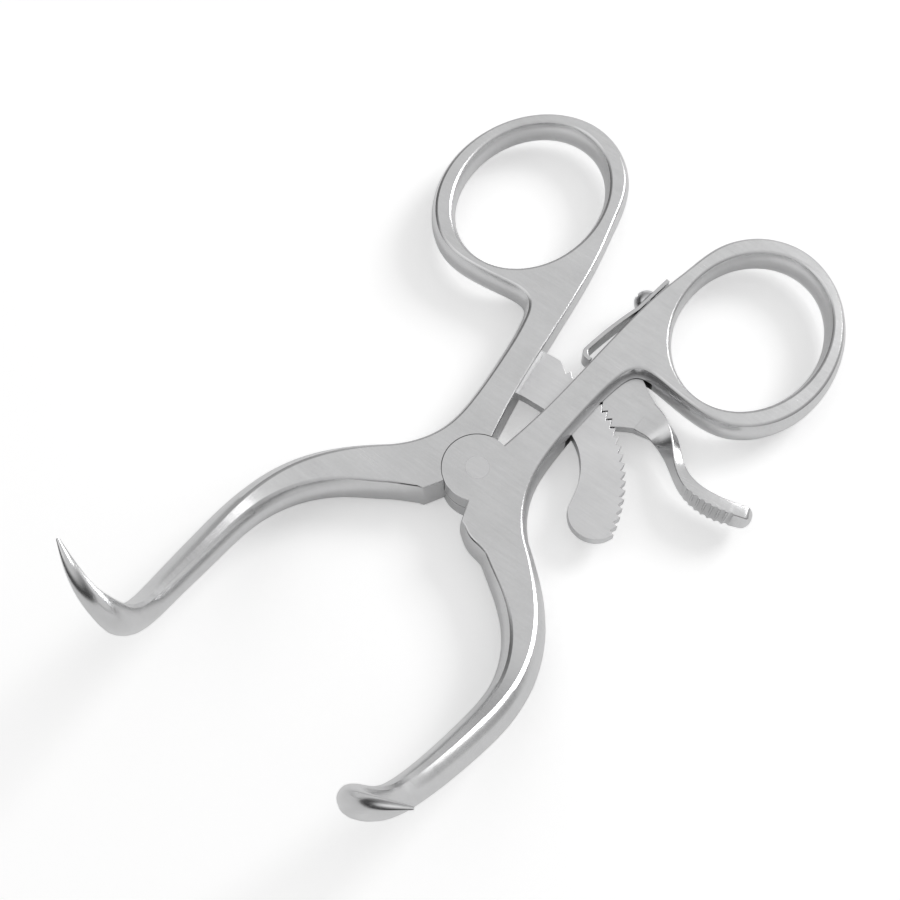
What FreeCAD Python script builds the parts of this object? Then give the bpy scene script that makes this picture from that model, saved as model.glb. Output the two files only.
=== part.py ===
import FreeCAD
import Part
import math
import os

os.makedirs("parts", exist_ok=True)

# Self retaining retractor with finger rings, millimetres.
# +Z is up, the origin is on the hinge axis at the underside of the joint,
# +Y runs to the finger rings and +X to the right arm.

# Hinge and arms
thick = 6.4
lap_gap = 0.06
disc_r = 4.5
recess_gap = 0.06
pivot_r = 1.5
pivot_gap = 0.03
edge_bevel = 0.7
stop_right = 19.0
stop_left = 30.0

# Finger rings
ring_in = 5.75
ring_y = 37.1
ring_half_x = 12.0
ring_half_y = 14.8
ring_wall_x = 2.35
ring_wall_y = 2.65
ring_tilt = 12.5
ring_from = 160.0
ring_turn = 27.0
hole_in = 0.25
hole_down = 0.4
ring_round = 0.6
ring_lift = 1.8
slope_from = 9.0
slope_to = 24.0

# Ratchet
pitch = 3.75
tooth_count = 21
first_tooth = 11.25
tip_r = 18.8
tooth_deep = 0.7
tooth_lean = 0.8
rack_in_r = 12.2
rack_waist = 1.1
rack_pad = 0.4
rack_z = 2.7
rack_t = 1.7
rack_end_x = -5.1
rack_pin_r = 0.6
rack_pin_in = 1.25
rack_pin_turn = 103.5
mesh_tooth = 12
mesh_count = 3
mesh_gap = 0.07
slot_gap = 0.15
slot_from = 40.0
slot_to = 100.0

# Pawl
pin_out = 1.8
pin_turn = 75.1
pin_r = 0.7
pin_gap = 0.03
tab_t = 1.8
tab_x = 19.7
tab_y = -5.9
tab_bow = 0.1
groove_r = 0.42
groove_step = 0.86
groove_count = 9

# Leaf spring
leaf_low = 2.9
leaf_high = 5.7
screw_y = 33.0
screw_z = 4.35
screw_r = 0.8
head_r = 1.8
head_high = 1.1
screw_long = 3.0

root_r = tip_r - tooth_deep
rack_pad_r = tip_r + rack_pad
ring_x = ring_in + ring_half_x
ring_low = ring_y - ring_half_y
hole_x = ring_x - hole_in
hole_y = ring_y - hole_down
hole_half_x = ring_half_x - ring_wall_x
hole_half_y = ring_half_y - ring_wall_y


def vec(x, y, z=0.0):
    return FreeCAD.Vector(x, y, z)


def polar(radius, angle, z=0.0):
    a = math.radians(angle)
    return vec(radius * math.cos(a), radius * math.sin(a), z)


def line(a, b):
    return Part.makeLine(a, b)


def arc(a, b, c):
    return Part.Arc(a, b, c).toShape()


def curves(points, breaks=()):
    """One smooth curve through the points, as separate edges between the break points."""
    spline = Part.BSplineCurve()
    spline.interpolate(points)
    knots = spline.getKnots()
    stops = [0, *breaks, len(knots) - 1]
    return [spline.toShape(knots[a], knots[b]) for a, b in zip(stops, stops[1:])]


def prism(edges, z0, z1):
    face = Part.Face(Part.Wire(edges))
    face.translate(vec(0, 0, z0))
    return face.extrude(vec(0, 0, z1 - z0))


def post(x, y, radius, z0, z1):
    return Part.makeCylinder(radius, z1 - z0, vec(x, y, z0))


def ring_point(t):
    a = math.radians(t)
    b = math.radians(ring_tilt)
    x = ring_half_x * math.cos(a)
    y = ring_half_y * math.sin(a)
    return vec(ring_x + x * math.cos(b) - y * math.sin(b), ring_y + x * math.sin(b) + y * math.cos(b))


def ellipse(cx, cy, half_x, half_y):
    return Part.Ellipse(vec(cx, cy + half_y), vec(cx + half_x, cy), vec(cx, cy))


# Blade stations: x, y, z of the section centre, half width, half flat, height
blade_path = [
    (9.075, -6.535, 3.2, 3.17, 2.48, 6.4),
    (13.5, -10.0, 3.6, 2.95, 1.92, 6.3),
    (17.6, -15.0, 4.6, 2.60, 1.30, 5.9),
    (19.6, -21.0, 6.2, 2.25, 0.85, 5.5),
    (19.4, -28.5, 9.7, 2.08, 0.62, 5.0),
    (18.4, -35.5, 14.3, 1.90, 0.48, 4.4),
    (17.4, -39.8, 18.3, 1.70, 0.42, 4.1),
    (16.4, -42.2, 23.6, 1.50, 0.42, 4.2),
    (15.9, -43.2, 28.4, 1.38, 0.40, 3.8),
    (16.2, -43.5, 32.2, 1.20, 0.38, 2.8),
    (17.4, -43.2, 35.4, 0.92, 0.30, 2.0),
    (19.4, -42.4, 37.5, 0.60, 0.20, 1.3),
    (21.9, -41.1, 38.55, 0.16, 0.06, 0.34),
]


def blade():
    wires = []
    side = vec(0.60, 0.80, 0.0)
    last = len(blade_path) - 1
    for i, station in enumerate(blade_path):
        before = vec(*blade_path[max(i - 1, 0)][:3])
        after = vec(*blade_path[min(i + 1, last)][:3])
        tangent = after - before if i > 0 else vec(0.80, -0.60, 0.0)
        tangent.normalize()
        side = side - tangent * side.dot(tangent)
        side.normalize()
        half, flat, high = station[3:]
        wires.append(blade_section(vec(*station[:3]), side, tangent.cross(side), half, flat, high))
    floor = Part.makeBox(60, 60, 5, vec(-10, -60, -5))
    return Part.makeLoft(wires, True, False).cut(floor)


def blade_section(c, side, up, half, flat, high):
    top = high / 2.0
    drop = min(edge_bevel, 0.3 * high)
    wide = half - 0.1 * (half - flat)
    base = 0.72 * half

    def at(s, u):
        return c + side * s + up * u

    a = at(-flat, top)
    b = at(flat, top)
    d = at(wide, top - drop)
    e = at(base, -top)
    f = at(-base, -top)
    g = at(-wide, top - drop)
    return Part.makePolygon([a, b, d, at(half, 0.0), e, f, at(-half, 0.0), g, a])


def arm_block(stop):
    start = vec(0.40, 2.6)
    blade_out = vec(10.98, -3.995)
    blade_in = vec(7.17, -9.075)
    stop_out = polar(7.35, 270.0 + stop)
    stop_in = polar(3.0, 270.0 + stop)
    middle = (blade_in + stop_out) * 0.5 + vec(0.18, 0.42)
    handle = [start, vec(1.95, 10.5), vec(2.95, 19.5), vec(4.00, 30.0), vec(4.72, 35.0)]
    for step in range(11):
        handle.append(ring_point(ring_from - ring_turn * step))
    handle += [vec(12.4, ring_low + 0.85), vec(8.9, ring_low + 0.55), vec(7.75, ring_low - 2.0),
               vec(7.02, 15.0), vec(6.60, 8.0), vec(7.15, 2.35), blade_out]
    edges = curves(handle, (4, 15)) + [
        line(blade_out, blade_in),
        arc(blade_in, middle, stop_out),
        line(stop_out, stop_in),
        line(stop_in, start),
    ]
    body = prism(edges, 0.0, thick)
    under = Part.Face(Part.makePolygon([
        vec(-40, slope_from, -1), vec(-40, slope_from, 0), vec(-40, slope_to, ring_lift),
        vec(-40, 60, ring_lift), vec(-40, 60, -1), vec(-40, slope_from, -1)]))
    body = body.cut(under.extrude(vec(80, 0, 0)))
    hole = Part.Wire(ellipse(hole_x, hole_y, hole_half_x, hole_half_y).toShape())
    hole = Part.Face(hole).extrude(vec(0, 0, thick + 2))
    hole.translate(vec(0, 0, -1))
    body = body.cut(hole)
    rim = [wire for wire in top_face(body).Wires if not wire.isSame(top_face(body).OuterWire)]
    body = body.makeChamfer(ring_round, rim[0].Edges)
    rim = sorted(top_face(body).OuterWire.Edges, key=lambda edge: -edge.Length)
    return body.makeChamfer(edge_bevel, rim[:3])


def top_face(body):
    return [face for face in body.Faces if face.BoundBox.ZMin > thick - 0.01][0]


def sector(r0, r1, a0, a1):
    mid = (a0 + a1) / 2.0
    return [
        arc(polar(r0, a0), polar(r0, mid), polar(r0, a1)),
        line(polar(r0, a1), polar(r1, a1)),
        arc(polar(r1, a1), polar(r1, mid), polar(r1, a0)),
        line(polar(r1, a0), polar(r0, a0)),
    ]


def mirror(shape):
    return shape.mirror(vec(0, 0), vec(1, 0))


def underside(y):
    return ring_lift * min(1.0, max(0.0, (y - slope_from) / (slope_to - slope_from)))


def right_arm():
    half = (thick + lap_gap) / 2.0
    arm = arm_block(stop_right).fuse(blade())
    arm = arm.fuse(post(0, 0, disc_r, 0, thick))
    arm = arm.cut(post(0, 0, disc_r + recess_gap, -1, half))
    arm = arm.cut(post(0, 0, pivot_r + pivot_gap, -1, thick + 1))
    arm = arm.cut(slot())
    arm = arm.cut(post(pin.x, pin.y, pin_r, -1, thick + 1))
    arm = arm.cut(screw_post(screw_r + pin_gap, screw_long + 0.1))
    return arm


def left_arm():
    half = (thick - lap_gap) / 2.0
    arm = mirror(arm_block(stop_left).fuse(blade()))
    arm = arm.fuse(post(0, 0, disc_r, 0, thick))
    arm = arm.cut(post(0, 0, disc_r + recess_gap, half, thick + 1))
    arm = arm.cut(post(0, 0, pivot_r, -1, thick + 1))
    arm = arm.cut(prism(rack_root(), rack_z, rack_z + rack_t))
    for spot in rack_pins:
        arm = arm.cut(post(spot.x, spot.y, rack_pin_r, -1, thick + 1))
    return arm


def slot():
    low = rack_z - slot_gap
    high = rack_z + rack_t + slot_gap
    track = prism(sector(rack_in_r - 0.2, tip_r + 0.25, slot_from, slot_to), low, high)
    room = Part.makeBox(14.0, 8.2, high - low, pin + vec(-6.3, -3.3, low))
    return track.fuse(room)


def joint_rivet():
    return post(0, 0, pivot_r, 0, thick)


def rack_root():
    edge = rack_end_x
    low = math.sqrt(rack_in_r ** 2 - edge ** 2)
    high = math.sqrt(rack_pad_r ** 2 - edge ** 2)
    return [
        arc(polar(rack_in_r, 90.0), polar(rack_in_r, 100.0), vec(edge, low)),
        line(vec(edge, low), vec(edge, high)),
        arc(vec(edge, high), polar(rack_pad_r, 96.0), polar(rack_pad_r, 91.0)),
        line(polar(rack_pad_r, 91.0), polar(rack_in_r, 90.0)),
    ]


def ratchet_bar():
    heel = polar(root_r, first_tooth - pitch)
    toe = polar(rack_in_r, 15.0)
    edges = [arc(toe, polar((rack_in_r + root_r) / 2.0 - 0.37, 3.7), heel)]
    last = heel
    for k in range(tooth_count):
        angle = first_tooth + pitch * k
        tip = polar(tip_r, angle - tooth_lean)
        edges.append(line(last, tip))
        edges.append(line(tip, polar(root_r, angle)))
        last = polar(root_r, angle)
    edges += [line(last, polar(rack_pad_r, 91.0)), line(polar(rack_pad_r, 91.0), polar(rack_in_r, 90.0))]
    edges += curves([polar(rack_in_r, 90.0), polar(rack_in_r + 0.5 * rack_waist, 72.0),
                     polar(rack_in_r + rack_waist, 52.0), polar(rack_in_r + 0.6 * rack_waist, 32.0), toe])
    bar = prism(Part.__sortEdges__(edges), rack_z, rack_z + rack_t)
    bar = bar.fuse(prism(rack_root(), rack_z, rack_z + rack_t)).removeSplitter()
    for spot in rack_pins:
        bar = bar.cut(post(spot.x, spot.y, rack_pin_r, -1, thick + 1))
    return bar


def ratchet_bar_rivets():
    return Part.makeCompound([post(spot.x, spot.y, rack_pin_r, underside(spot.y) + 0.1, thick) for spot in rack_pins])


def pawl():
    edges = []
    neck_low = pin + vec(6.8, -2.75)
    neck_high = pin + vec(7.6, 1.55)
    first = first_tooth + pitch * mesh_tooth
    turn = math.degrees(mesh_gap / root_r)
    last = polar(tip_r + 0.75, first - 1.0)
    edges.append(arc(neck_low, pin + vec(6.32, -3.18), last))
    for k in range(mesh_count):
        angle = first + pitch * k + turn
        for point in (polar(tip_r + mesh_gap, angle - tooth_lean), polar(root_r + mesh_gap, angle)):
            edges.append(line(last, point))
            last = point
    back = polar(tip_r + mesh_gap, first + pitch * mesh_count + turn - tooth_lean)
    under_pin = polar(tip_r + 0.6, 73.0)
    heel_low = pin + vec(-2.05, 0.25)
    heel_high = pin + vec(-2.1, 2.5)
    apex = pin + vec(3.1, 3.85)
    edges += [
        line(last, back),
        line(back, under_pin),
        line(under_pin, heel_low),
        line(heel_low, heel_high),
        arc(heel_high, pin + vec(0.0, 3.8), apex),
        line(neck_high, neck_low),
    ]
    edges += curves([apex, pin + vec(4.45, 3.35), pin + vec(5.9, 2.4), neck_high])
    plate = prism(Part.__sortEdges__(edges), rack_z, rack_z + rack_t)
    plate = plate.fuse(lever()).cut(post(pin.x, pin.y, pin_r + pin_gap, -1, thick + 1))
    for k in range(groove_count):
        x = tab_x - 3.4 + groove_step * k
        lean = tab_bow * (x - tab_x)
        n = vec(-lean, 1.0)
        n.normalize()
        spot = pin + vec(x, tab_y + tab_bow * (x - tab_x) ** 2 / 2.0) - n * (tab_t / 2.0 + 0.14)
        plate = plate.cut(post(spot.x, spot.y, groove_r, -1, thick + 2))
    return plate


# Lever stations: x and y from the pin, heading of travel, roll, width across the plate, thickness
lever_path = [
    (6.80, -0.53, -10.5, 0.0, 4.20, 1.70),
    (7.25, -0.61, -10.5, 1.0, 4.20, 1.70),
    (9.65, -1.15, -22.0, 16.0, 3.40, 1.70),
    (11.95, -2.30, -34.0, 50.0, 2.90, 1.70),
    (14.30, -4.15, -33.0, 80.0, 2.90, 1.75),
    (16.70, -5.45, -16.0, 90.0, 3.70, 1.80),
    (19.70, -5.90, 0.0, 90.0, 4.20, 1.80),
    (22.70, -5.45, 15.0, 90.0, 4.20, 1.80),
    (24.80, -4.75, 20.0, 90.0, 3.60, 1.70),
    (25.70, -4.42, 20.0, 90.0, 2.20, 1.30),
]


def lever():
    wires = []
    mid = rack_z + rack_t / 2.0
    for x, y, heading, roll, wide, deep in lever_path:
        h = math.radians(heading)
        r = math.radians(roll)
        n = vec(-math.sin(h), math.cos(h))
        across = n * math.cos(r) + vec(0, 0, math.sin(r))
        up = n * -math.sin(r) + vec(0, 0, math.cos(r))
        c = pin + vec(x, y, mid)
        corners = []
        for i, j in ((-1, -1), (1, -1), (1, 1), (-1, 1), (-1, -1)):
            corners.append(c + across * (i * wide / 2.0) + up * (j * deep / 2.0))
        wires.append(Part.makePolygon(corners))
    return Part.makeLoft(wires, True, False)


def pawl_pin():
    return post(pin.x, pin.y, pin_r, underside(pin.y) + 0.1, thick)


def leaf_spring():
    edges = [
        line(leaf_top, leaf_bend),
        arc(leaf_bend, pin + vec(-2.95, 7.3), pin + vec(-4.0, 2.2)),
        arc(pin + vec(-4.0, 2.2), pin + vec(-3.8, 1.4), pin + vec(-3.1, 1.05)),
        line(pin + vec(-3.1, 1.05), pin + vec(-2.5, 0.95)),
        line(pin + vec(-2.5, 0.95), pin + vec(-2.4, 1.48)),
        arc(pin + vec(-2.4, 1.48), pin + vec(-3.2, 1.72), pin + vec(-3.47, 2.2)),
        arc(pin + vec(-3.47, 2.2), pin + vec(-2.43, 7.2), leaf_bend + leaf_way * leaf_t),
        line(leaf_bend + leaf_way * leaf_t, leaf_top + leaf_way * leaf_t),
        line(leaf_top + leaf_way * leaf_t, leaf_top),
    ]
    return prism(edges, leaf_low, leaf_high).cut(screw_post(screw_r + 0.05, 8.0))


def screw_post(radius, long):
    return Part.makeCylinder(radius, long + 2.0, screw_seat() - leaf_way * 2.0, leaf_way)


def screw_seat():
    along = (screw_y - leaf_bend.y) / (leaf_top.y - leaf_bend.y)
    return leaf_bend + (leaf_top - leaf_bend) * along + vec(0, 0, screw_z)


def spring_screw():
    seat = screw_seat()
    shank = Part.makeCylinder(screw_r, screw_long, seat, leaf_way)
    head = Part.makeCylinder(head_r, 0.4 * head_high, seat, leaf_way * -1.0)
    crown = Part.makeCone(head_r, 0.6 * head_r, 0.6 * head_high, seat - leaf_way * (0.4 * head_high), leaf_way * -1.0)
    head = head.fuse(crown)
    cut = Part.makeBox(0.55, 0.45, 6.0, vec(-0.275, -0.225, -3.0))
    cut.rotate(vec(0, 0), vec(1, 0), 35.0)
    cut.translate(seat - leaf_way * head_high)
    return head.cut(cut).fuse(shank)


# Places that hang on the sizes above
pin = polar(tip_r + pin_out, pin_turn)
rack_pins = [polar(radius, rack_pin_turn) for radius in (tip_r - rack_pin_in, rack_in_r + 2.2)]
leaf_top = vec(4.36, 36.9)
leaf_bend = vec(3.47, 31.0)
leaf_way = vec(leaf_top.y - leaf_bend.y, leaf_bend.x - leaf_top.x)
leaf_way.normalize()
leaf_t = 0.5

nodes = {
    "left_arm": left_arm,
    "right_arm": right_arm,
    "joint_rivet": joint_rivet,
    "ratchet_bar": ratchet_bar,
    "ratchet_bar_rivets": ratchet_bar_rivets,
    "pawl": pawl,
    "pawl_pin": pawl_pin,
    "leaf_spring": leaf_spring,
    "spring_screw": spring_screw,
}

for name, make in nodes.items():
    shape = make()
    shape.exportStep("parts/" + name + ".step")
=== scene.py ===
import bmesh
import bpy
import math
import numpy as np
from mathutils import Matrix, Vector
from mathutils.geometry import delaunay_2d_cdt

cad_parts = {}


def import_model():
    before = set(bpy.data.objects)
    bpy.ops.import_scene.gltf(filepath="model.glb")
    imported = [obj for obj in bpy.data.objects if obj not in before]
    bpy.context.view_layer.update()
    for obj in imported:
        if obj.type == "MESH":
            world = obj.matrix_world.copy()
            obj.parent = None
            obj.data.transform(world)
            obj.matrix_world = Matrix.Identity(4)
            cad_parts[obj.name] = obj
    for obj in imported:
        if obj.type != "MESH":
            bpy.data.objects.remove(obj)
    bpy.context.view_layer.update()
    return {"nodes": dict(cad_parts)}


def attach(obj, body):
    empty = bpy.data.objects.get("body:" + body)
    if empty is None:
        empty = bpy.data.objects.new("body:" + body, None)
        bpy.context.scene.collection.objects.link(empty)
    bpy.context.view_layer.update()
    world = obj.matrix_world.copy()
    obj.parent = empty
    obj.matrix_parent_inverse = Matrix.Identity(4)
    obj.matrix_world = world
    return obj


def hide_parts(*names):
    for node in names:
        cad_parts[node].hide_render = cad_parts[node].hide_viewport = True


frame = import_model()

# Lengths are millimetres in the part's own frame, and meshes are scaled to metres as they are made.
# Angles are degrees from +X towards +Y.
MM = 0.001

# Meshes: distances in metres below which points are welded and edges dropped, the turn from which an
# edge is sharp, and the upright share of a normal from which a face is level
WELD = 2e-6
SLIVER = 1e-6
SHARP_TURN = 21.0
LEVEL_NORMAL = 0.9999

# Cutters reach below and above every piece, and have next to no broken edge
CUT_Z = (-1.0, 8.0)
CUT_RIM = 0.001

# Arms, as forged: flat faces, walls that swell to mid height, and a fine broken edge of two points,
# given in rims inwards and downwards
THICK = 6.4
SWELL = 0.7
SWELL_POWER = 2.6
LEVELS = 9
RIM = 0.2
RIM_POINTS = np.array([(0.95, 0.0), (0.28, 0.28)])

# Finger ring and its hole: centre x and y, half widths, tilt
RING = (17.72, 36.95, 12.0, 14.65, 12.5)
HOLE = (17.5, 36.7, 9.4, 11.9, 0.0)
HOLE_SWELL = 0.6
RING_LIFT = 1.8
SLOPE = (9.0, 24.0)

# Lap joint
DISC_R = 4.5
RECESS_R = 4.56
HALF_GAP = 0.03
RIVET_R = 1.5

# Ratchet and pawl: the pawl's first tooth stands in the bar's thirteenth gap, MESH_GAP off its sides
PITCH = 3.75
TEETH = 21
FIRST_TOOTH = 11.25
TOOTH_LEAN = 0.8
TIP_R = 18.8
ROOT_R = 18.1
RACK_IN_R = 12.2
RACK_PAD_R = 19.2
RACK_Z = (2.7, 4.4)
RACK_END = -5.1
RACK_PIN_R = 0.6
PAWL_TEETH = 3
PAWL_SEAT = 12
PAWL_PIN_R = 0.7
MESH_GAP = 0.15

# Play round the rivet, round pins that sit fast, and between the pawl and its pin
RIVET_PLAY = 0.004
FAST_PLAY = 0.002
PAWL_PLAY = 0.03


# Shapes in the plane and along a path

def polar(radius, angle):
    """Point at a radius and an angle."""
    a = math.radians(angle)
    return np.array([radius * math.cos(a), radius * math.sin(a)])


RACK_PINS = [polar(17.55, 103.5), polar(14.4, 103.5)]
PAWL_PIN = polar(20.6, 75.1)


def oval(shape, angles):
    """Points of an ellipse: half widths times cosine and sine of each angle, turned by the tilt and
    moved to the centre."""
    cx, cy, half_x, half_y, tilt = shape
    a, b = np.radians(angles), math.radians(tilt)
    x, y = half_x * np.cos(a), half_y * np.sin(a)
    turned_x = x * math.cos(b) - y * math.sin(b)
    turned_y = x * math.sin(b) + y * math.cos(b)
    return np.stack([cx + turned_x, cy + turned_y], axis=1)


def spline(knots, count, first=0, last=None):
    """Natural cubic spline through the knots, with chord length in the first three columns as its
    parameter, at even steps from knot first to knot last."""
    p = np.asarray(knots, float)
    n = len(p)
    chords = np.linalg.norm(np.diff(p[:, :3], axis=0), axis=1)
    t = np.concatenate([[0.0], np.cumsum(chords)])
    h = np.diff(t)
    i = np.arange(1, n - 1)
    a = np.eye(n)
    a[i, i - 1] = h[i - 1]
    a[i, i] = 2.0 * (h[i - 1] + h[i])
    a[i, i + 1] = h[i]
    slope = np.diff(p, axis=0) / h[:, None]
    r = np.zeros_like(p)
    r[i] = 6.0 * (slope[i] - slope[i - 1])
    m = np.linalg.solve(a, r)
    s = np.linspace(t[first], t[n - 1 if last is None else last], count)
    k = np.clip(np.searchsorted(t, s, side="right") - 1, 0, n - 2)
    w = ((s - t[k]) / h[k])[:, None]
    v = 1 - w
    g = h[k][:, None] ** 2 / 6.0
    return v * p[k] + w * p[k + 1] + g * ((v ** 3 - v) * m[k] + (w ** 3 - w) * m[k + 1])


def arc(a, b, c, count):
    """Circle arc from a through b to c: its centre is where the bisectors of the two chords meet."""
    a, b, c = (np.asarray(p, float) for p in (a, b, c))
    left = np.array([b - a, c - b])
    right = np.array([(b @ b - a @ a) / 2.0, (c @ c - b @ b) / 2.0])
    o = np.linalg.solve(left, right)
    angle = [math.atan2(*(p - o)[::-1]) for p in (a, b, c)]
    turn = (angle[2] - angle[0]) % (2 * math.pi)
    if (angle[1] - angle[0]) % (2 * math.pi) > turn:
        turn -= 2 * math.pi
    s = angle[0] + turn * np.linspace(0.0, 1.0, count)
    r = np.linalg.norm(a - o)
    return np.stack([o[0] + r * np.cos(s), o[1] + r * np.sin(s)], axis=1)


def out_normals(loop, closed=True):
    """Mitred normals, to the right of travel: the mean of the two edges' normals, longer at a corner
    by the inverse cosine of half its turn."""
    ahead = np.roll(loop, -1, axis=0) - loop
    if not closed:
        ahead[-1] = ahead[-2]
    ahead /= np.maximum(np.linalg.norm(ahead, axis=1), 1e-9)[:, None]
    behind = np.roll(ahead, 1, axis=0)
    if not closed:
        behind[0] = ahead[0]
        ahead[-1] = behind[-1]
    both = ahead + behind
    both /= np.maximum(np.linalg.norm(both, axis=1), 1e-9)[:, None]
    stretch = 1.0 / np.clip((both * ahead).sum(axis=1), 0.5, 1.0)
    return np.stack([both[:, 1], -both[:, 0]], axis=1) * stretch[:, None]


def wall_levels(swell, high, rim, count):
    """A wall's profile from the top flat's edge to the bottom one's, as offsets outwards and depths
    below the top. The offset is -swell times the height from the middle, which is 1 at the flats, to
    the power 2.6, and each end is rounded by the rim."""
    lip = rim / high
    tau = lip + (1.0 - 2.0 * lip) * np.linspace(0.0, 1.0, count)
    wall = -swell * np.abs(2.0 * tau - 1.0) ** SWELL_POWER
    into, below = rim * RIM_POINTS.T
    end = -swell - into
    offsets = np.concatenate([end, wall, end[::-1]])
    depths = np.concatenate([below, tau * high, high - below[::-1]])
    return offsets, depths


def inside(points, loop):
    """True where a point lies in the loop: a ray to +X crosses it an odd number of times."""
    a, b = loop, np.roll(loop, -1, axis=0)
    x, y = points[:, :1], points[:, 1:]
    straddles = (a[None, :, 1] > y) != (b[None, :, 1] > y)
    rise = np.where(b[:, 1] == a[:, 1], 1e-12, b[:, 1] - a[:, 1])
    cross = a[:, 0] + (y - a[None, :, 1]) * (b[:, 0] - a[:, 0]) / rise
    return (straddles & (x < cross)).sum(axis=1) % 2 == 1


def fill(loops):
    """Triangles between an outer loop and the holes in it, as indices into all loops end to end."""
    points = np.concatenate(loops)
    edges, at = [], 0
    for loop in loops:
        n = len(loop)
        edges += [(at + i, at + (i + 1) % n) for i in range(n)]
        at += n
    found = delaunay_2d_cdt([Vector(p) for p in points], edges, [], 0, 1e-7)
    origin = [o[0] for o in found[3]]
    tris = np.array([[origin[i] for i in f] for f in found[2]])
    middle = points[tris].mean(axis=1)
    keep = inside(middle, loops[0])
    for hole in loops[1:]:
        keep &= ~inside(middle, hole)
    tris = tris[keep]
    a, b, c = points[tris[:, 0]], points[tris[:, 1]], points[tris[:, 2]]
    turn = (b[:, 0] - a[:, 0]) * (c[:, 1] - a[:, 1]) - (b[:, 1] - a[:, 1]) * (c[:, 0] - a[:, 0])
    tris[turn < 0] = tris[turn < 0][:, ::-1]
    return tris


def grid_faces(rows, cols, wrap_rows=False, wrap_cols=False):
    """Quads of a grid of rows x cols points laid row by row."""
    r = np.arange(rows if wrap_rows else rows - 1)
    c = np.arange(cols if wrap_cols else cols - 1)
    i, j = np.meshgrid(r, c, indexing="ij")
    i2, j2 = (i + 1) % rows, (j + 1) % cols
    quads = [i * cols + j, i2 * cols + j, i2 * cols + j2, i * cols + j2]
    return np.stack(quads, axis=-1).reshape(-1, 4).tolist()


def tube(rows, first_cap=True):
    """Points and faces of a row of closed rings, capped at the last ring and, by choice, the first.
    The caps run opposite ways round, so that both face outwards or both inwards."""
    n, count = rows.shape[:2]
    faces = grid_faces(n, count, wrap_cols=True)
    if first_cap:
        faces.append(list(range(count))[::-1])
    faces.append(list(range((n - 1) * count, n * count)))
    return rows.reshape(-1, 3), faces


def flats(walls):
    """Points and faces of the flat ends between walls, each wall a loop of columns from top down."""
    parts = []
    for level in (0, -1):
        rings = [w[:, level] for w in walls]
        parts.append((np.concatenate(rings), fill([r[:, :2] for r in rings]).tolist()))
    return parts


# Meshes

def mesh_object(name, parts):
    """One closed mesh from (points, faces) lists in millimetres."""
    verts, faces, at = [], [], 0
    for points, polys in parts:
        verts.append(points)
        faces += [tuple(int(i) + at for i in f) for f in polys]
        at += len(points)
    mesh = bpy.data.meshes.new(name)
    mesh.from_pydata((np.concatenate(verts) * MM).tolist(), [], faces)
    obj = bpy.data.objects.new(name, mesh)
    bpy.context.scene.collection.objects.link(obj)
    clean(obj)
    return obj


def clean(obj):
    """Welds doubles, drops slivers, turns faces outwards, marks sharp edges and shades all but level
    faces smooth."""
    bm = bmesh.new()
    bm.from_mesh(obj.data)
    bmesh.ops.remove_doubles(bm, verts=bm.verts, dist=WELD)
    bmesh.ops.dissolve_degenerate(bm, edges=bm.edges, dist=SLIVER)
    bmesh.ops.recalc_face_normals(bm, faces=bm.faces)
    bm.to_mesh(obj.data)
    bm.free()
    obj.data.shade_smooth()
    obj.data.set_sharp_from_angle(angle=math.radians(SHARP_TURN))
    normals = np.empty(len(obj.data.polygons) * 3)
    obj.data.polygons.foreach_get("normal", normals)
    obj.data.polygons.foreach_set("use_smooth", np.abs(normals[2::3]) < LEVEL_NORMAL)


def combine(obj, other, how):
    """Joins or cuts obj with another closed mesh, and removes the other."""
    step = obj.modifiers.new("shape", "BOOLEAN")
    step.operation = how
    step.solver = "EXACT"
    step.object = other
    graph = bpy.context.evaluated_depsgraph_get()
    mesh = bpy.data.meshes.new_from_object(obj.evaluated_get(graph))
    obj.modifiers.clear()
    old = obj.data
    obj.data = mesh
    bpy.data.meshes.remove(old)
    bpy.data.objects.remove(other)
    clean(obj)
    return obj


def turned(name, profile, place=(0, 0, 0), axis=(0, 0, 1), count=128):
    """A body of revolution: each (radius, height) of the profile swept round the axis through the
    place."""
    profile = np.asarray(profile, float)
    a = np.linspace(0.0, 2 * math.pi, count, endpoint=False)
    z = Vector(axis).normalized()
    x = z.orthogonal().normalized()
    y = z.cross(x)
    ring = np.cos(a)[:, None] * np.array(x) + np.sin(a)[:, None] * np.array(y)
    rise = profile[:, 1:2, None] * np.array(z)
    return mesh_object(name, [tube(np.array(place) + profile[:, :1, None] * ring[None] + rise)])


def rods(places, radius, low=CUT_Z[0], high=CUT_Z[1], count=64):
    """Plain round cutters along Z, one at each place: a circle of that radius at two heights."""
    a = np.linspace(0.0, 2 * math.pi, count, endpoint=False)
    parts = []
    for x, y in places:
        ring = np.stack([x + radius * np.cos(a), y + radius * np.sin(a), 0.0 * a], axis=1)
        parts.append(tube(np.array([ring + (0.0, 0.0, low), ring + (0.0, 0.0, high)])))
    return mesh_object("cutter", parts)


def plate(name, loop, low, high, rim=0.05):
    """A flat plate: the loop offset inwards by the broken edge at top and bottom, with flat ends."""
    loop = np.asarray(loop, float)
    offsets, depths = wall_levels(0.0, high - low, rim, 2)
    ahead = np.roll(loop, -1, axis=0)
    area = (loop[:, 0] * ahead[:, 1] - loop[:, 1] * ahead[:, 0]).sum()
    outwards = out_normals(loop) * (1.0 if area > 0 else -1.0)
    flat = loop[:, None] + outwards[:, None] * offsets[None, :, None]
    z = np.broadcast_to(high - depths, flat.shape[:2])
    wall = np.concatenate([flat, z[..., None]], axis=2)
    faces = grid_faces(len(loop), len(depths), wrap_rows=True)
    return mesh_object(name, [(wall.reshape(-1, 3), faces), *flats([wall])])


# The arms

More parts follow.
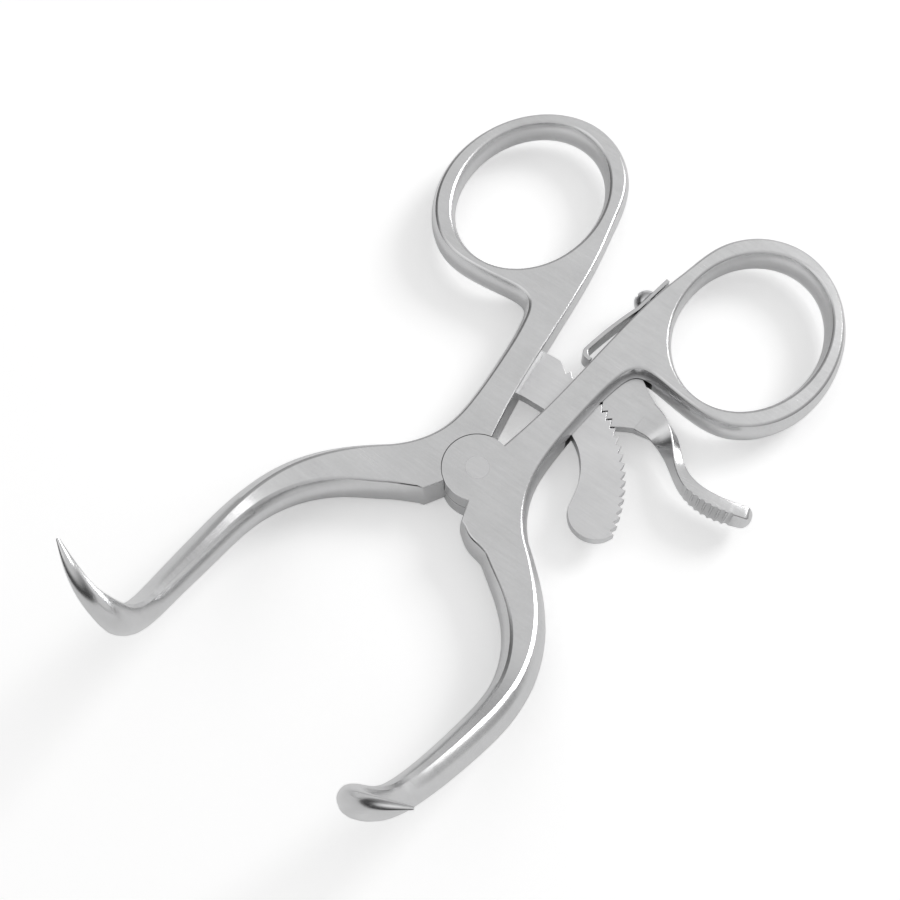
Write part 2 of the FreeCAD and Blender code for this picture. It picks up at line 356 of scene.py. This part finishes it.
# Blade stations: x, y, z of the section's centre, half width, half flat, height
BLADE = [
    (9.075, -6.535, 3.2, 3.175, 2.475, 6.4),
    (13.5, -10.0, 3.6, 2.95, 1.92, 6.3),
    (17.6, -15.0, 4.6, 2.60, 1.30, 5.9),
    (19.6, -21.0, 6.2, 2.25, 0.85, 5.5),
    (19.4, -28.5, 9.7, 2.08, 0.62, 5.0),
    (18.4, -35.5, 14.3, 1.90, 0.48, 4.4),
    (17.4, -39.8, 18.3, 1.80, 0.42, 3.9),
    (16.3, -42.1, 23.6, 1.78, 0.42, 3.6),
    (15.7, -43.0, 28.4, 1.74, 0.40, 3.3),
    (16.1, -43.3, 32.2, 1.45, 0.38, 2.7),
    (17.4, -43.2, 35.4, 1.02, 0.30, 2.0),
    (19.4, -42.4, 37.5, 0.60, 0.20, 1.3),
    (21.9, -41.1, 38.55, 0.16, 0.06, 0.34),
]
BLADE_ROWS = 150

# The blade's root: its direction and side, how much of an arm's drift the first stations take, and
# how far before the root the extra knots lie that give the splines their direction there
ROOT_WAY = np.array([0.80, -0.60, 0.0])
ROOT_SIDE = np.array([0.60, 0.80, 0.0])
DRIFT_SHARES = (1.0, 0.9, 0.4)
BLADE_LEAD = 3.0
EDGE_LEAD = 2.5

# The stop beside the joint: radius of its outer and inner corner, and the way that the edge between
# blade and stop bows
STOP_R = (7.35, 3.0)
BOW_WAY = np.array([0.39, 0.92])

# The shank: x, y and swell up its inner side, and x and y down its outer side
SHANK_IN = [(0.40, 2.6, 0.2), (1.95, 10.5, 0.12), (2.95, 19.5, 0.12), (4.00, 30.0, 0.15),
            (4.72, 35.0, 0.25)]
SHANK_OUT = [(12.4, 23.15), (8.9, 22.85), (7.75, 20.3), (7.02, 15.0), (6.60, 8.0), (7.15, 2.35)]
SHANK_ROWS = 330

# The ring's knots between them: the first angle, the step, and the swell at each
RING_KNOTS = (160.0, -27.0)
RING_SWELLS = [0.4, 0.6] + [SWELL] * 9


def underside(y):
    """Height of the underside: nought at the joint, then a slope up to the rings."""
    return RING_LIFT * np.clip((y - SLOPE[0]) / (SLOPE[1] - SLOPE[0]), 0.0, 1.0)


def blade_grid(drift):
    """Sections along the blade: the stations' spline, each with a side direction carried along the
    path, and the wall's profile on both sides."""
    stations = np.array(BLADE)
    stations[:3, :3] += np.outer(DRIFT_SHARES, drift * ROOT_SIDE)
    lead = stations[0].copy()
    lead[:3] -= BLADE_LEAD * ROOT_WAY
    path = spline([lead, *stations], BLADE_ROWS, first=1)
    centre = path[:, :3]
    way = np.gradient(centre, axis=0)
    way[0] = ROOT_WAY
    way /= np.linalg.norm(way, axis=1)[:, None]
    side = ROOT_SIDE
    rows = []
    for c, w, (half, flat, high) in zip(centre, way, path[:, 3:]):
        side = side - w * (side @ w)
        side /= np.linalg.norm(side)
        up = np.cross(w, side)
        off, down = wall_levels(half - flat, high, min(RIM, 0.3 * flat), LEVELS)
        s, u = half + off, high / 2.0 - down
        outer = c + s[:, None] * side + u[:, None] * up
        inner = c - s[::-1, None] * side + u[::-1, None] * up
        rows.append(np.concatenate([outer, inner]))
    return np.array(rows)


def arm_chain(stop, drift, dip):
    """The arm's plan line at mid height, from the blade's inner edge round the joint, shank and finger
    ring to the blade's outer edge, and the wall's swell along it."""
    way, side = ROOT_WAY[:2], ROOT_SIDE[:2]
    root, half = np.array(BLADE[0][:2]) + drift * side, BLADE[0][3]
    blade_in, blade_out = root - half * side, root + half * side
    stop_out, stop_in = [polar(r, 270.0 + stop) for r in STOP_R]
    middle = (blade_in + stop_out) / 2.0 + dip * BOW_WAY
    inner = spline([blade_in + EDGE_LEAD * way, blade_in, middle, stop_out], 24, first=1)
    # The wall would fold beside the stop's corner, so the three points next to it are left out
    inner = np.delete(inner, [-4, -3, -2], axis=0)
    ring = oval(RING, RING_KNOTS[0] + RING_KNOTS[1] * np.arange(len(RING_SWELLS)))
    handle = SHANK_IN + [(x, y, b) for (x, y), b in zip(ring, RING_SWELLS)]
    handle += [(x, y, SWELL) for x, y in [*SHANK_OUT, blade_out, blade_out + EDGE_LEAD * way]]
    shank = spline(handle, SHANK_ROWS, last=len(handle) - 2)
    chain = np.concatenate([inner, [stop_in], shank[:, :2]])
    swell = np.concatenate([np.linspace(SWELL, 0.45, 20), [0.2, 0.1], shank[:, 2]])
    return chain, swell


def arm_body(name, stop, side, drift, dip):
    """An arm as one closed mesh: the walled plan with its finger hole, and the blade carried on from
    the same end profile. Side -1 mirrors it."""
    chain, swell = arm_chain(stop, drift, dip)
    hole = oval(HOLE, np.linspace(0.0, 360.0, 128, endpoint=False))
    walls, parts = [], []
    for loop, bulge, closed in ((chain, swell, False), (hole, np.full(len(hole), HOLE_SWELL), True)):
        normal = -out_normals(loop, closed)
        if not closed:
            normal[0], normal[-1] = -ROOT_SIDE[:2], ROOT_SIDE[:2]
        base = underside(loop[:, 1])
        levels = [wall_levels(b, THICK - z, RIM, LEVELS) for b, z in zip(bulge, base)]
        off, down = np.array(levels).transpose(1, 0, 2)
        flat = loop[:, None] + normal[:, None] * off[..., None]
        wall = np.concatenate([flat, (THICK - down)[..., None]], axis=2)
        walls.append(wall)
        parts.append((wall.reshape(-1, 3), grid_faces(*wall.shape[:2], wrap_rows=closed)))
    parts += [*flats(walls), tube(blade_grid(drift), first_cap=False)]
    for points, _ in parts:
        points[:, 0] *= side
    return mesh_object(name, parts)


def half_disc(seam, flat):
    """An arm's disc at the joint: a small bevel at the seam and a broken edge at the arm's flat."""
    bevel, edge, near = 0.05, 0.06, 0.018
    way = 1.0 if flat > seam else -1.0
    profile = [(DISC_R - bevel, seam), (DISC_R, seam + way * bevel), (DISC_R, flat - way * edge),
               (DISC_R - near, flat - way * near), (DISC_R - edge, flat)]
    return turned("disc", profile[::int(way)])


def lapped(arm, seam, flat):
    """Fits an arm for the lap joint: a recess for the other disc, its own disc, the rivet's hole."""
    low, high = (CUT_Z[0], seam) if flat > seam else (seam, CUT_Z[1])
    arm = combine(arm, rods([(0, 0)], RECESS_R, low, high, 128), "DIFFERENCE")
    arm = combine(arm, half_disc(seam, flat), "UNION")
    return combine(arm, rods([(0, 0)], RIVET_R + RIVET_PLAY), "DIFFERENCE")


def pocket():
    """The slot that the ratchet bar slides through, with the pawl's pocket beside it."""
    play = 0.15
    low, high = RACK_Z[0] - play, RACK_Z[1] + play
    angles = np.linspace(40.0, 100.0, 48)
    inner = [polar(12.0, a) for a in angles]
    outer = [polar(TIP_R + 0.25, a) for a in angles[::-1]]
    track = plate("cutter", np.concatenate([inner, outer])[::-1], low, high, CUT_RIM)
    room = [(-6.3, -3.3), (7.7, -3.3), (7.7, 2.75), (5.9, 3.6), (4.2, 4.9), (-6.3, 4.9)]
    room = plate("cutter", PAWL_PIN + room, low, high, CUT_RIM)
    return combine(track, room, "UNION")


def right_arm():
    """The arm on top at the joint, with the slot for the bar and the hole for the pawl's pin."""
    arm = arm_body("right_arm_forging", stop=19.0, side=1.0, drift=0.0, dip=-0.45)
    arm = lapped(arm, THICK / 2.0 + HALF_GAP, THICK)
    arm = combine(arm, pocket(), "DIFFERENCE")
    return combine(arm, rods([PAWL_PIN], PAWL_PIN_R + FAST_PLAY), "DIFFERENCE")


def left_arm():
    """The arm below at the joint, with the holes for the bar's rivets."""
    arm = arm_body("left_arm_forging", stop=30.0, side=-1.0, drift=0.5, dip=0.0)
    arm = lapped(arm, THICK / 2.0 - HALF_GAP, 0.0)
    return combine(arm, rods(RACK_PINS, RACK_PIN_R + FAST_PLAY), "DIFFERENCE")


# Ratchet bar and pawl

# The bar's inner side, radius and angle of each knot, and the middle of its round free end
WAIST = [(RACK_IN_R, 90.0), (12.75, 72.0), (13.3, 52.0), (12.86, 32.0), (RACK_IN_R, 15.0)]
NOSE = (14.78, 3.7)


def ratchet_bar():
    """The curved bar: leaning saw teeth outside, a waisted spline inside, round at its free end. The
    other end is straight, at x = RACK_END, where a radius r has the angle acos(RACK_END / r)."""
    teeth = []
    for k in range(TEETH):
        angle = FIRST_TOOTH + PITCH * k
        teeth += [polar(TIP_R, angle - TOOTH_LEAN), polar(ROOT_R, angle)]
    pad_end, root_end = [math.degrees(math.acos(RACK_END / r)) for r in (RACK_PAD_R, RACK_IN_R)]
    pad = [polar(RACK_PAD_R, a) for a in np.linspace(91.0, pad_end, 12)]
    root = [polar(RACK_IN_R, a) for a in np.linspace(root_end, 90.5, 12)]
    waist = spline([polar(*knot) for knot in WAIST], 60)
    nose = arc(waist[-1], polar(*NOSE), polar(ROOT_R, FIRST_TOOTH - PITCH), 40)
    loop = np.concatenate([nose, teeth, pad, root, waist[:-1]])
    return plate("ratchet_bar_blank", loop, *RACK_Z)


# Lever stations: x and y from the pawl's pin, heading of travel, roll, width, thickness
LEVER = [
    (5.70, -0.42, -10.5, 0.0, 4.20, 1.62),
    (6.80, -0.73, -10.5, 0.0, 4.60, 1.70),
    (7.25, -0.81, -10.5, 1.0, 4.60, 1.70),
    (9.75, -1.15, -22.0, 18.0, 3.50, 1.60),
    (12.10, -2.15, -34.0, 50.0, 2.70, 1.45),
    (14.45, -3.95, -33.0, 80.0, 2.50, 1.40),
    (16.75, -5.35, -16.0, 90.0, 3.40, 1.65),
    (19.70, -5.90, 0.0, 90.0, 4.20, 1.80),
    (22.70, -5.45, 15.0, 90.0, 4.20, 1.80),
    (24.70, -4.78, 20.0, 90.0, 3.80, 1.75),
    (25.45, -4.51, 20.0, 90.0, 3.00, 1.50),
    (25.80, -4.38, 20.0, 90.0, 1.70, 0.90),
]
LEVER_ROWS = 90
LEVER_CORNER = 0.22

# Grooves of the thumb piece: number, step, first and radius, the middle of the piece from the pin,
# how strongly it bows, and how deep the cutters' centres lie
GROOVES = 9
GROOVE_STEP = 0.86
GROOVE_FIRST = -3.4
GROOVE_R = 0.42
THUMB = (19.7, -5.9)
THUMB_BOW = 0.05
GROOVE_DEPTH = 1.04

# The pawl's outline from its pin: the start of its lower arc, its back's arc and its neck's knots
PAWL_LOWER = ((7.3, -3.05), (6.6, -3.4))
PAWL_TAIL = (-2.05, 0.25)
PAWL_BACK = [(-2.1, 2.5), (0.0, 3.8), (3.1, 3.85)]
PAWL_NECK = [(3.1, 3.85), (4.45, 3.35), (5.9, 2.4), (7.6, 1.55)]


def lever():
    """The pawl's thumb lever: a rounded rectangle carried along its path and rolled from flat to
    upright."""
    stations = np.insert(np.array(LEVER), 2, sum(RACK_Z) / 2.0, axis=1)
    corner = np.radians(np.linspace(0.0, 90.0, 7))
    rows = []
    for x, y, z, heading, roll, wide, deep in spline(stations, LEVER_ROWS):
        h, r = math.radians(heading), math.radians(roll)
        n = np.array([-math.sin(h), math.cos(h), 0.0])
        across = n * math.cos(r) + np.array([0.0, 0.0, math.sin(r)])
        up = -n * math.sin(r) + np.array([0.0, 0.0, math.cos(r)])
        c = np.array([*(PAWL_PIN + (x, y)), z])
        ring = []
        for sx, sy, turn in ((1, 1, 0.0), (-1, 1, 90.0), (-1, -1, 180.0), (1, -1, 270.0)):
            a = corner + math.radians(turn)
            px = sx * (wide / 2.0 - LEVER_CORNER) + LEVER_CORNER * np.cos(a)
            py = sy * (deep / 2.0 - LEVER_CORNER) + LEVER_CORNER * np.sin(a)
            ring.append(c + px[:, None] * across + py[:, None] * up)
        rows.append(np.concatenate(ring))
    return mesh_object("lever", [tube(np.array(rows))])


def grooves():
    """Round cutters across the thumb piece, whose middle line is y = bow * x^2. Each centre lies below
    that line by the depth, along its normal (-2 * bow * x, 1)."""
    x = GROOVE_FIRST + GROOVE_STEP * np.arange(GROOVES)
    normal = np.stack([-2.0 * THUMB_BOW * x, np.ones(GROOVES)], axis=1)
    normal /= np.linalg.norm(normal, axis=1)[:, None]
    line = np.stack([x, THUMB_BOW * x ** 2], axis=1)
    return rods(PAWL_PIN + THUMB + line - GROOVE_DEPTH * normal, GROOVE_R, count=40)


def pawl():
    """The pawl: a flat plate with three teeth cut to the bar's, and the lever that twists out of it."""
    first = FIRST_TOOTH + PITCH * PAWL_SEAT
    turn = math.degrees(MESH_GAP / ROOT_R)
    tip_r, root_r = TIP_R + MESH_GAP, ROOT_R + MESH_GAP
    start, lower = PAWL_PIN + PAWL_LOWER
    loop = [*arc(start, lower, polar(TIP_R + 0.75, first - 1.0), 12)]
    for k in range(PAWL_TEETH):
        angle = first + PITCH * k + turn
        loop += [polar(tip_r, angle - TOOTH_LEAN), polar(root_r, angle)]
    loop += [polar(tip_r, first + PITCH * PAWL_TEETH + turn - TOOTH_LEAN), polar(TIP_R + 0.6, 73.0),
             PAWL_PIN + PAWL_TAIL]
    loop += [*arc(*(PAWL_PIN + PAWL_BACK), 24), *spline(PAWL_PIN + PAWL_NECK, 20)[1:]]
    body = plate("pawl_blank", loop, *RACK_Z)
    body = combine(body, lever(), "UNION")
    body = combine(body, grooves(), "DIFFERENCE")
    return combine(body, rods([PAWL_PIN], PAWL_PIN_R + PAWL_PLAY), "DIFFERENCE")


# Leaf spring and its screw

# The strip's outer line: its top end, where the straight part ends, and the way into the shank
LEAF_TOP = np.array([4.36, 36.9])
LEAF_BEND = np.array([3.47, 31.0])
LEAF_WAY = np.array([5.9, -0.89]) / math.hypot(5.9, 0.89)
LEAF_THICK = 0.5
LEAF_Z = (2.9, 5.7)


def leaf_spring():
    """A bent strip: straight where the screw holds it, then two arcs a strip's thickness apart, hooked
    in at the foot."""
    inner_top, inner_bend = LEAF_TOP + LEAF_THICK * LEAF_WAY, LEAF_BEND + LEAF_THICK * LEAF_WAY
    outer = arc(LEAF_BEND, PAWL_PIN + (-2.95, 7.3), PAWL_PIN + (-4.0, 2.2), 30)
    foot = arc(PAWL_PIN + (-4.0, 2.2), PAWL_PIN + (-3.8, 1.4), PAWL_PIN + (-3.1, 1.05), 10)
    back = arc(PAWL_PIN + (-2.4, 1.48), PAWL_PIN + (-3.2, 1.72), PAWL_PIN + (-3.47, 2.2), 10)
    inner = arc(PAWL_PIN + (-3.47, 2.2), PAWL_PIN + (-2.43, 7.2), inner_bend, 30)
    loop = [LEAF_TOP, *outer, *foot[1:], PAWL_PIN + (-2.5, 0.95), *back, *inner[1:], inner_top]
    return plate("leaf_spring_strip", loop, *LEAF_Z, 0.06)


def spring_screw():
    """A slotted round-head screw: a dome on a short shank, with a straight slot. A dome of radius a
    and height h is part of a ball of radius (a^2 + h^2) / (2 * h)."""
    head_r, head_high, shank_r, shank_long = 1.7, 1.55, 0.8, 3.0
    slot_long, slot_wide, slot_deep, slot_tilt = 6.0, 0.45, 0.45, math.radians(35.0)
    up_the_strip, height, clear = 2.0 / 5.9, 4.35, 0.2
    axis = np.array([*LEAF_WAY, 0.0])
    seat = np.array([*(LEAF_BEND + (LEAF_TOP - LEAF_BEND) * up_the_strip), height])
    ball = (head_r ** 2 + head_high ** 2) / (2.0 * head_high)
    a = np.linspace(0.02, math.asin(head_r / ball), 16)
    dome = np.stack([ball * np.sin(a), head_high - ball + ball * np.cos(a)], axis=1)
    profile = np.concatenate([dome, [(head_r, 0.0), (shank_r, 0.0), (shank_r, -shank_long)]])
    screw = turned("spring_screw_turned", profile, seat, -axis, 64)
    across = np.cross(axis, (0, 0, 1))
    long = math.cos(slot_tilt) * np.array([0, 0, 1.0]) + math.sin(slot_tilt) * across
    short = np.cross(long, axis)
    start = seat - axis * (head_high + clear)
    corners = []
    for i, j, k in np.ndindex(2, 2, 2):
        spread = long * (slot_long * (j - 0.5)) + short * (slot_wide * (k - 0.5))
        corners.append(start + axis * ((clear + slot_deep) * i) + spread)
    faces = [(0, 1, 3, 2), (4, 6, 7, 5), (0, 4, 5, 1), (2, 3, 7, 6), (0, 2, 6, 4), (1, 5, 7, 3)]
    bar = mesh_object("cutter", [(np.array(corners), faces)])
    return combine(screw, bar, "DIFFERENCE")


# Finishes

class Wire:
    """A shader socket that takes part in arithmetic: an operator adds the Math node that it names."""

    def __init__(self, tree, socket):
        self.tree, self.socket = tree, socket

    def node(self, kind, settings=(), inputs=(), out=0):
        """Adds a node, sets it up, then fills its sockets with values or links, and gives one output.
        The setting stops gives a ramp's positions and greys, its own two ends first."""
        n = self.tree.nodes.new(kind)
        for key, value in dict(settings).items():
            if key == "stops":
                for at, (pos, col) in enumerate(value):
                    e = n.color_ramp.elements
                    stop = e[at] if at < 2 else e.new(pos)
                    stop.position = pos
                    stop.color = (col, col, col, 1.0)
            else:
                setattr(n, key, value)
        for key, value in dict(inputs).items():
            if isinstance(value, Wire):
                self.tree.links.new(value.socket, n.inputs[key])
            else:
                n.inputs[key].default_value = value
        return Wire(self.tree, n.outputs[out])

    def math(self, how, a, b=0.0):
        return self.node("ShaderNodeMath", {"operation": how}, {0: a, 1: b})

    def __add__(self, o):
        return self.math("ADD", self, o)

    def __sub__(self, o):
        return self.math("SUBTRACT", self, o)

    def __rsub__(self, o):
        return self.math("SUBTRACT", o, self)

    def __mul__(self, o):
        return self.math("MULTIPLY", self, o)

    __radd__ = __add__
    __rmul__ = __mul__


def steel(name, tone, rough, angle, grain=1.0):
    """Stainless steel: fine brushed lines along one direction, cloudy polish, a few stray scratches.
    The tone is multiplied by 1 plus a small share of each noise less 0.5."""
    mat = bpy.data.materials.new(name)
    mat.use_nodes = True
    tree = mat.node_tree
    shader = tree.nodes["Principled BSDF"]
    shader.inputs["Metallic"].default_value = 1.0
    start = Wire(tree, None)
    place = start.node("ShaderNodeTexCoord", out="Object")

    def noise(turn, stretch, scale, detail=4.0, rough_mix=0.6):
        """A noise in the object's own space, turned about Z by degrees and stretched along an axis."""
        turned_by = (0.0, 0.0, math.radians(turn))
        spot = start.node("ShaderNodeMapping", {},
                          {"Vector": place, "Rotation": turned_by, "Scale": stretch})
        values = {"Vector": spot, "Scale": scale, "Detail": detail, "Roughness": rough_mix}
        return start.node("ShaderNodeTexNoise", {"noise_dimensions": "3D"}, values, "Fac")

    lines = noise(angle, (0.08, 1.0, 0.25), 5200.0 * grain)
    coarse = noise(angle + 7.0, (0.05, 1.0, 0.2), 1500.0 * grain, 3.0)
    cloud = noise(20.0, (1.0, 1.0, 1.0), 160.0, 3.0, 0.5)
    speck = noise(0.0, (1.0, 1.0, 1.0), 2600.0, 2.0, 0.6)
    nick = noise(angle + 58.0, (0.03, 1.0, 0.3), 900.0, 1.0, 0.4)
    nick = start.node("ShaderNodeValToRGB", {"stops": [(0.70, 0.0), (0.76, 1.0)]}, {"Fac": nick})
    value = (1.0 + 0.12 * (lines - 0.5) + 0.10 * (coarse - 0.5) + 0.16 * (cloud - 0.5)
             + 0.06 * (speck - 0.5))
    red, green, blue = [value * part for part in tone]
    tint = start.node("ShaderNodeCombineColor", {}, {"Red": red, "Green": green, "Blue": blue})
    tree.links.new(tint.socket, shader.inputs["Base Color"])
    level = rough + 0.10 * (cloud - 0.5) + 0.10 * (lines - 0.5) - 0.05 * nick
    tree.links.new(level.socket, shader.inputs["Roughness"])
    height = 0.5 * lines + 0.6 * coarse + 0.25 * speck + 0.3 * nick
    bump = start.node("ShaderNodeBump", {}, {"Height": height, "Strength": 0.16, "Distance": 0.00002})
    tree.links.new(bump.socket, shader.inputs["Normal"])
    return mat


SATIN = steel("satin_steel", (0.735, 0.735, 0.74), 0.24, angle=38.0)
RIVET = steel("rivet_steel", (0.75, 0.75, 0.755), 0.32, angle=-20.0)
BAR = steel("ratchet_steel", (0.735, 0.735, 0.74), 0.36, angle=-12.0)
SPRING = steel("spring_steel", (0.66, 0.66, 0.665), 0.24, angle=85.0)
SCREW = steel("screw_steel", (0.68, 0.68, 0.69), 0.22, angle=10.0, grain=0.6)


def finish(obj, material):
    """Gives a piece its steel, and no other."""
    obj.data.materials.clear()
    obj.data.materials.append(material)


def fit(obj, material, body, slot, *nodes):
    """Gives a piece its steel and its body, and hides the solid that it stands for. The slot is not
    used.
    """
    finish(obj, material)
    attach(obj, body)
    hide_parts(*nodes)


fit(left_arm(), SATIN, "left_body", "satin_steel", "left_arm")
fit(right_arm(), SATIN, "right_body", "satin_steel", "right_arm")
fit(ratchet_bar(), BAR, "left_body", "satin_steel", "ratchet_bar")
fit(pawl(), SATIN, "pawl_body", "satin_steel", "pawl")
fit(leaf_spring(), SPRING, "right_body", "spring_steel", "leaf_spring")
fit(spring_screw(), SCREW, "right_body", "spring_steel", "spring_screw")
finish(frame["nodes"]["joint_rivet"], RIVET)
for kept in ("ratchet_bar_rivets", "pawl_pin"):
    finish(frame["nodes"][kept], SATIN)


# Floor, light and camera

FLOOR_HALF = 900.0
PAPER = 0.88

# The floor's own glow, as the camera and as the steel see it
GLOW_SEEN = 0.36
GLOW_MIRRORED = 0.06

# The studio's dome: z of the direction and brightness, both ends first, and the lift towards +Y
DOME = [(0.0, 0.05), (1.0, 0.68), (0.34, 0.05), (0.62, 0.38), (0.82, 0.68)]
BACK_LIFT = 0.7
WHITE = (1.0, 1.0, 1.0, 1.0)


def floor():
    """A wide pale sheet under the part. To the camera it glows a little, so that it reads as white
    and still takes the shadow."""
    corners = [(-1, -1, 0), (1, -1, 0), (1, 1, 0), (-1, 1, 0)]
    obj = mesh_object("floor", [(FLOOR_HALF * np.array(corners), [(0, 1, 2, 3)])])
    mat = bpy.data.materials.new("floor_sheet")
    mat.use_nodes = True
    tree = mat.node_tree
    tree.nodes.clear()
    start = Wire(tree, None)
    seen = start.node("ShaderNodeLightPath", out="Is Camera Ray")
    shiny = start.node("ShaderNodeLightPath", out="Is Glossy Ray")
    paper = start.node("ShaderNodeBsdfDiffuse", {}, {"Color": (PAPER, PAPER, PAPER, 1.0)})
    strength = seen * GLOW_SEEN + shiny * GLOW_MIRRORED
    glow = start.node("ShaderNodeEmission", {}, {"Color": WHITE, "Strength": strength})
    both = start.node("ShaderNodeAddShader", {}, {0: paper, 1: glow})
    tree.links.new(both.socket, tree.nodes.new("ShaderNodeOutputMaterial").inputs["Surface"])
    obj.data.materials.append(mat)


def world():
    """A soft studio dome: light above, dim at the horizon, lifted towards +Y by 0.7 * y * (1 - z) for
    y and z above nought, and white to the camera itself."""
    w = bpy.data.worlds.new("studio")
    bpy.context.scene.world = w
    w.use_nodes = True
    tree = w.node_tree
    tree.nodes.clear()
    start = Wire(tree, None)
    way = start.node("ShaderNodeTexCoord", out="Generated")
    rise = start.node("ShaderNodeSeparateXYZ", {}, {"Vector": way}, "Z")
    back = start.math("MAXIMUM", start.node("ShaderNodeSeparateXYZ", {}, {"Vector": way}, "Y"), 0.0)
    low = 1.0 - start.math("MAXIMUM", rise, 0.0)
    dome = start.node("ShaderNodeValToRGB", {"stops": DOME}, {"Fac": rise})
    seen = start.node("ShaderNodeLightPath", out="Is Camera Ray")
    level = (dome + BACK_LIFT * back * low) * (1.0 - seen) + seen
    sky = start.node("ShaderNodeBackground", {}, {"Color": WHITE, "Strength": level})
    tree.links.new(sky.socket, tree.nodes.new("ShaderNodeOutputWorld").inputs["Surface"])


def lamp(name, place, size, power):
    """A square soft lamp at a place, turned to the part, in metres and watts."""
    data = bpy.data.lights.new(name, "AREA")
    data.shape = "SQUARE"
    data.size = size
    data.energy = power
    obj = bpy.data.objects.new(name, data)
    obj.location = place
    obj.rotation_euler = (-Vector(place)).to_track_quat("-Z", "Y").to_euler()
    bpy.context.scene.collection.objects.link(obj)


def camera():
    """The photograph's view: 67.9 degrees down, 36.3 degrees round to the right, 56 mm lens on a
    36 mm frame."""
    right = Vector((0.8055, 0.5926, 0.0)).normalized()
    forward = Vector((-0.2234, 0.3036, -0.9263)).normalized()
    eye = Vector((35.15, -53.54, 169.27)) * MM
    up = right.cross(forward)
    data = bpy.data.cameras.new("camera")
    data.lens = 56.0
    data.sensor_width = 36.0
    data.clip_start = 0.005
    obj = bpy.data.objects.new("camera", data)
    turn = Matrix((right, up, -forward)).transposed()
    obj.matrix_world = Matrix.Translation(eye) @ turn.to_4x4()
    bpy.context.scene.collection.objects.link(obj)
    bpy.context.scene.camera = obj


floor()
world()
lamp("key", (0.18, 0.50, 0.40), size=0.25, power=1.6)
lamp("fill", (-0.35, -0.25, 0.55), size=0.5, power=0.25)
camera()
bpy.context.scene.view_settings.view_transform = "Standard"
